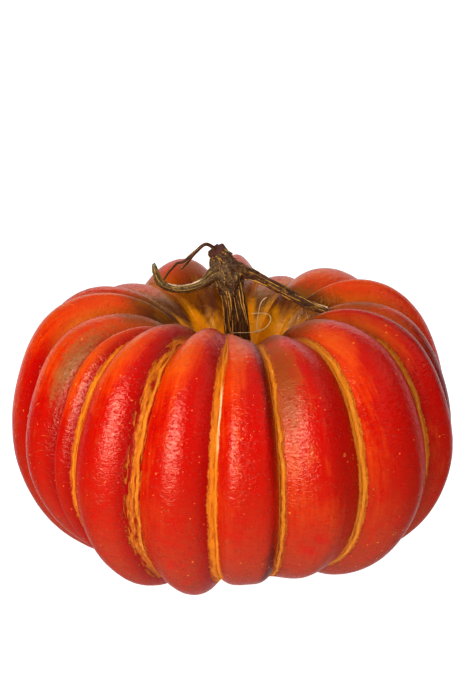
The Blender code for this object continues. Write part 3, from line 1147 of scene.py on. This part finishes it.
# what the threads have in common
threadLook = {
    "sides": 12,
    "ribs": 3,
    "ribDepth": 0.08,
    "ridges": 3,
    "ridgeHeight": 0.08,
    "ridgeWidth": 0.2,
    "wander": 0.8,
    "lumps": 0.10,
}


def makeThreads(axis, floor):
    wiry = barkFinish("wiryTendril", barkLooks["tendril"])
    pale = barkFinish("paleStrand", barkLooks["fibre"])
    pieces = (  # the piece, its threads and finish, then its slot and the solid it stands for
        ("tendrilWire", ("tendril", "fork"), wiry, "tendril_brown", "tendril"),
        ("fibreLoop", ("loop",), pale, "pale_fibre", "fibre_loop"),
        ("fibreStrand", ("strand",), pale, "pale_fibre", "fibre_strand"),
    )
    for name, parts, finish, slot, solid in pieces:
        grids = [stemGrid({**threadLook, **threads[part]}, axis, floor) for part in parts]
        standsFor(makePiece(name, grids, finish), slot, solid)
    print("threads:", len(pieces), "pieces")


# a plain pale floor, six soft lights and a pale background; places and sizes are in metres
studio = {
    "floorReach": 9.0,
    "floorColour": (0.28, 0.29, 0.30),
    "floorRough": 0.9,
    "floorGlow": 1.05,
    "walls": 0.03,
    "ceiling": 0.38,
    "backdrop": 0.9,
    "ceilingColour": (0.93, 0.95, 1.0),
    "ceilingFrom": (0.35, 0.85),
    "backdropFrom": (0.30, 0.85),
    "poolFrom": (0.45, 0.95),
    "pool": 0.35,
    "aim": (0, 0, 0.09),
    "lights": {
        "key": {"at": (-0.62, -1.47, 0.50), "size": (0.95, 0.75), "watts": 17},
        "spread": {"at": (-0.80, -1.38, 0.75), "size": (1.6, 1.3), "watts": 11, "matt": True},
        "fill": {"at": (1.6, -1.6, 0.9), "size": (1.0, 1.0), "watts": 3.0},
        "side": {"at": (1.5, -0.1, 1.0), "size": (1.0, 1.0), "watts": 2.2},
        "rear": {"at": (0.2, 1.5, 1.3), "size": (2.4, 0.9), "watts": 5.0},
        "top": {"at": (0.15, -0.25, 1.6), "size": (1.3, 1.3), "watts": 7, "matt": True},
    },
    "contrast": "High Contrast",
    "exposure": -0.60,
}


def areaLight(name, look):
    data = bpy.data.lights.new(name, "AREA")
    data.shape = "RECTANGLE"
    data.size, data.size_y = look["size"]
    data.energy = look["watts"]
    made = bpy.data.objects.new(name, data)
    made.location = look["at"]
    aim = Vector(studio["aim"]) - made.location
    made.rotation_euler = aim.to_track_quat("-Z", "Y").to_euler()
    made.visible_glossy = not look.get("matt", False)  # a matt light leaves no highlight
    bpy.context.scene.collection.objects.link(made)


def makeFloor():
    mesh = bpy.data.meshes.new("studioFloor")
    reach = studio["floorReach"]
    corners = [(-reach, -reach, 0), (reach, -reach, 0), (reach, reach, 0), (-reach, reach, 0)]
    mesh.from_pydata(corners, [], [(0, 1, 2, 3)])
    floor = bpy.data.objects.new("studioFloor", mesh)
    bpy.context.scene.collection.objects.link(floor)
    glow = {"Emission Color": (1.0, 1.0, 1.0, 1.0), "Emission Strength": studio["floorGlow"]}
    paper = Shade(bpy.data.materials.new("palePaper"))
    mesh.materials.append(paper.finish(studio["floorColour"], studio["floorRough"], **glow))
    floor.visible_glossy = False


def makeWorld():
    # a bright backdrop behind, a dimmer ceiling, dark walls,
    # and a pool of light below for the rind to reflect; the camera sees plain white
    world = bpy.data.worlds.new("paleStudio")
    shade = Shade(world)
    _, y, z = shade.parts(shade.node("ShaderNodeTexCoord", output="Generated"))
    ceiling = shade.step(z, *studio["ceilingFrom"]) * studio["ceiling"]
    backdrop = shade.step(y - abs(z) * 0.35, *studio["backdropFrom"]) * studio["backdrop"]
    pool = shade.step(z * -1, *studio["poolFrom"]) * studio["pool"]
    seen = shade.node("ShaderNodeLightPath", output="Is Camera Ray")
    background = shade.tree.nodes["Background"].inputs
    shade.feed(background["Strength"], (ceiling + backdrop + pool + studio["walls"]).most(seen))
    shade.feed(background["Color"], shade.mix(studio["ceilingColour"], (1.0, 1.0, 1.0), seen))
    bpy.context.scene.world = world


def makeStudio():
    makeFloor()
    makeWorld()
    for name, look in studio["lights"].items():
        areaLight(name, look)
    view = bpy.context.scene.view_settings
    view.view_transform = "Standard"
    view.look = studio["contrast"]
    view.exposure = studio["exposure"]
    print("studio:", len(studio["lights"]), "lights")


camera = {
    "lens": 98.5,
    "sensor": 36,
    "elevation": 17.5,
    "roll": 1.6,
    "distance": 1.296,
    "aim": (0.0020, 0.0, 0.1435),
}


def makeCamera():
    data = bpy.data.cameras.new("camera")
    data.lens = camera["lens"]
    data.sensor_width = camera["sensor"]
    made = bpy.data.objects.new("camera", data)
    up = math.radians(camera["elevation"])
    roll = Matrix.Rotation(-math.radians(camera["roll"]), 4, "Z")
    turn = Matrix.Rotation(math.pi / 2 - up, 4, "X") @ roll
    back = Vector((0, -math.cos(up), math.sin(up))) * camera["distance"]
    turn.translation = Vector(camera["aim"]) + back
    made.matrix_world = turn
    bpy.context.scene.collection.objects.link(made)
    bpy.context.scene.camera = made


makeCamera()
makeStudio()
axis = makeFruit(skinFinish(skinLook))
crownFloor = fruit["seamProfile"][0][1] - fruit["flattened"]
makeStems(axis, crownFloor)
makeThreads(axis, crownFloor)
